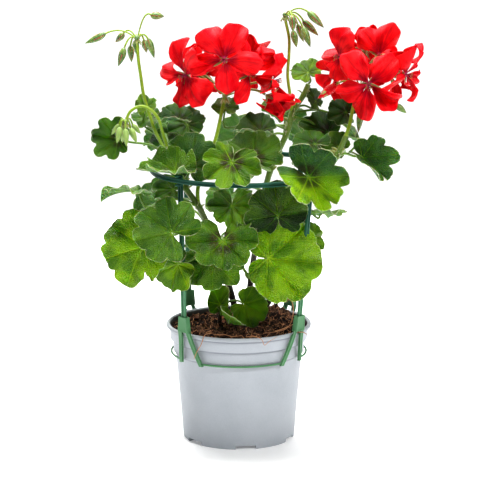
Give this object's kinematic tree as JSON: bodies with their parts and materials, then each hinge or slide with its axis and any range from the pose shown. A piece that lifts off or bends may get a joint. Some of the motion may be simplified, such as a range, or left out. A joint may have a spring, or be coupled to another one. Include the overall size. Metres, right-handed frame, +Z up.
{
  "type": "potted geranium",
  "caption": "Upright zonal geranium with red flower heads and scalloped leaves in a round grower's pot, held by a clip-on stake and hoop support.",
  "frame": {"origin": "centre of the pot's base, on the surface that the pot stands on", "axes": "+Z up along the pot's axis, -Y towards the front, +X to the right"},
  "size_m": [0.2732, 0.1696, 0.3555],
  "materials": {
    "grey_plastic": "pale grey moulded plastic, satin, faint scuffs",
    "clip_plastic": "mid green moulded plastic, satin",
    "stake_plastic": "dark blue-green moulded plastic, satin",
    "compost": "damp crumbly peat with coir fibres",
    "foliage": "soft hairy green leaf, darker zone round the veins' centre",
    "petal": "velvety scarlet petal"
  },
  "bodies": {
    "root": {"pot": "grey_plastic", "soil": "compost", "support_clip": "clip_plastic", "support_hoop": "stake_plastic", "stake_front_left": "stake_plastic", "stake_front_right": "stake_plastic", "stake_back_right": "stake_plastic", "stake_back_left": "stake_plastic", "leafy_stem_left": "foliage", "leafy_stem_centre": "foliage", "leafy_stem_right": "foliage", "basal_shoot": "foliage", "bloom_left_1": "petal", "bloom_left_2": "petal", "bloom_left_3": "petal", "bloom_left_4": "petal", "bloom_left_5": "petal", "bloom_left_6": "petal", "bloom_left_7": "petal", "bloom_left_8": "petal", "bloom_right_1": "petal", "bloom_right_2": "petal", "bloom_right_3": "petal", "bloom_right_4": "petal", "bloom_right_5": "petal", "bloom_right_6": "petal", "bloom_right_7": "petal"}
  },
  "joints": []
}
